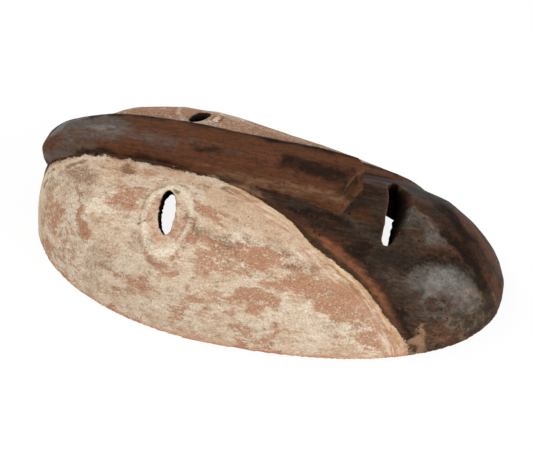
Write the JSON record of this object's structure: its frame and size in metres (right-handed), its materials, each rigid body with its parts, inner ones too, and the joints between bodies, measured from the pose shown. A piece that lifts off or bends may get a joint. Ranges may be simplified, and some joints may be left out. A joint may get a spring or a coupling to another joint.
{
  "type": "miniature face mask",
  "caption": "Small carved wooden face mask, egg-shaped, with a tall ridge running into the nose, slit eyes, a crescent mouth, a rounded chin and a hollow open back.",
  "frame": {"origin": "centre of the back rim's box, on the plane of the back rim", "axes": "X across the face, +Y up the face to the forehead, +Z out of the face"},
  "size_m": [0.0974, 0.1642, 0.0483],
  "materials": {
    "carved_wood": "dark polished wood; the cheeks are rubbed with chalky white pigment, worn through to pinkish brown"
  },
  "bodies": {
    "root": {"mask": "carved_wood"}
  },
  "joints": []
}
